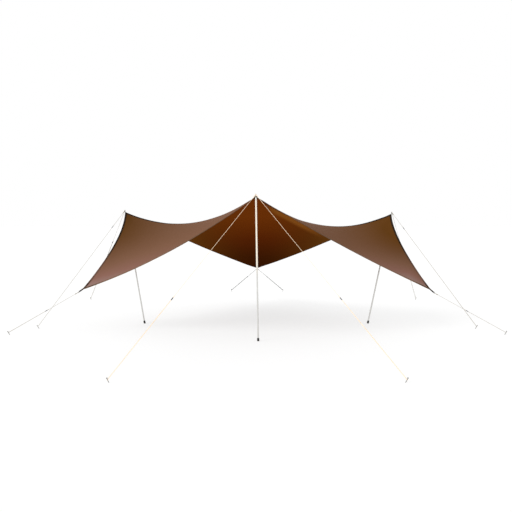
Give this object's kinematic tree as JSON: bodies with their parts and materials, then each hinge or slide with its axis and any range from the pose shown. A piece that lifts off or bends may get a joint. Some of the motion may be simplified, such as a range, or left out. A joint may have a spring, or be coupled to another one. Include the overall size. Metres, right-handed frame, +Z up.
{
  "type": "camping tarp with three poles",
  "caption": "Curved fabric canopy drawn tight between poles, guy ropes and ground pegs; gives open-sided shade and rain cover over a camp.",
  "frame": {"origin": "on the ground, under the middle of the box that holds the sheet, poles, ropes and pegs", "axes": "+X across the tarp to its right, seen from the main pole; +Y from the main pole to the back corner; +Z up"},
  "size_m": [8.7932, 8.467, 2.423],
  "materials": {
    "cloth": "coated brown polyester",
    "webbing": "dark brown woven webbing",
    "rubber": "moulded black",
    "tube": "drawn tube, satin",
    "steel": "plated",
    "rope": "cream braided cord",
    "slider": "black anodised"
  },
  "bodies": {
    "root": {"canopy_left_wing": "cloth", "canopy_back_left": "cloth", "canopy_back_right": "cloth", "canopy_right_wing": "cloth", "front_corner_disc": "webbing", "left_pole_corner_disc": "webbing", "right_pole_corner_disc": "webbing", "left_low_corner_tab": "webbing", "right_low_corner_tab": "webbing", "back_corner_tab": "webbing", "main_pole_foot": "rubber", "main_pole_lower": "tube", "main_pole_middle": "tube", "main_pole_upper": "tube", "main_pole_tip": "steel", "left_pole_foot": "rubber", "left_pole_lower": "tube", "left_pole_upper": "tube", "left_pole_tip": "steel", "right_pole_foot": "rubber", "right_pole_lower": "tube", "right_pole_upper": "tube", "right_pole_tip": "steel", "main_left_rope": "rope", "main_right_rope": "rope", "left_pole_front_rope": "rope", "left_pole_rear_rope": "rope", "right_pole_front_rope": "rope", "right_pole_rear_rope": "rope", "left_low_rope": "rope", "right_low_rope": "rope", "back_left_rope": "rope", "back_right_rope": "rope", "main_left_slider": "slider", "main_right_slider": "slider", "left_pole_front_slider": "slider", "left_pole_rear_slider": "slider", "right_pole_front_slider": "slider", "right_pole_rear_slider": "slider", "left_low_slider": "slider", "right_low_slider": "slider", "back_left_slider": "slider", "back_right_slider": "slider", "main_left_peg": "steel", "main_right_peg": "steel", "left_pole_front_peg": "steel", "left_pole_rear_peg": "steel", "right_pole_front_peg": "steel", "right_pole_rear_peg": "steel", "left_low_peg": "steel", "right_low_peg": "steel", "back_left_peg": "steel", "back_right_peg": "steel"}
  },
  "joints": []
}
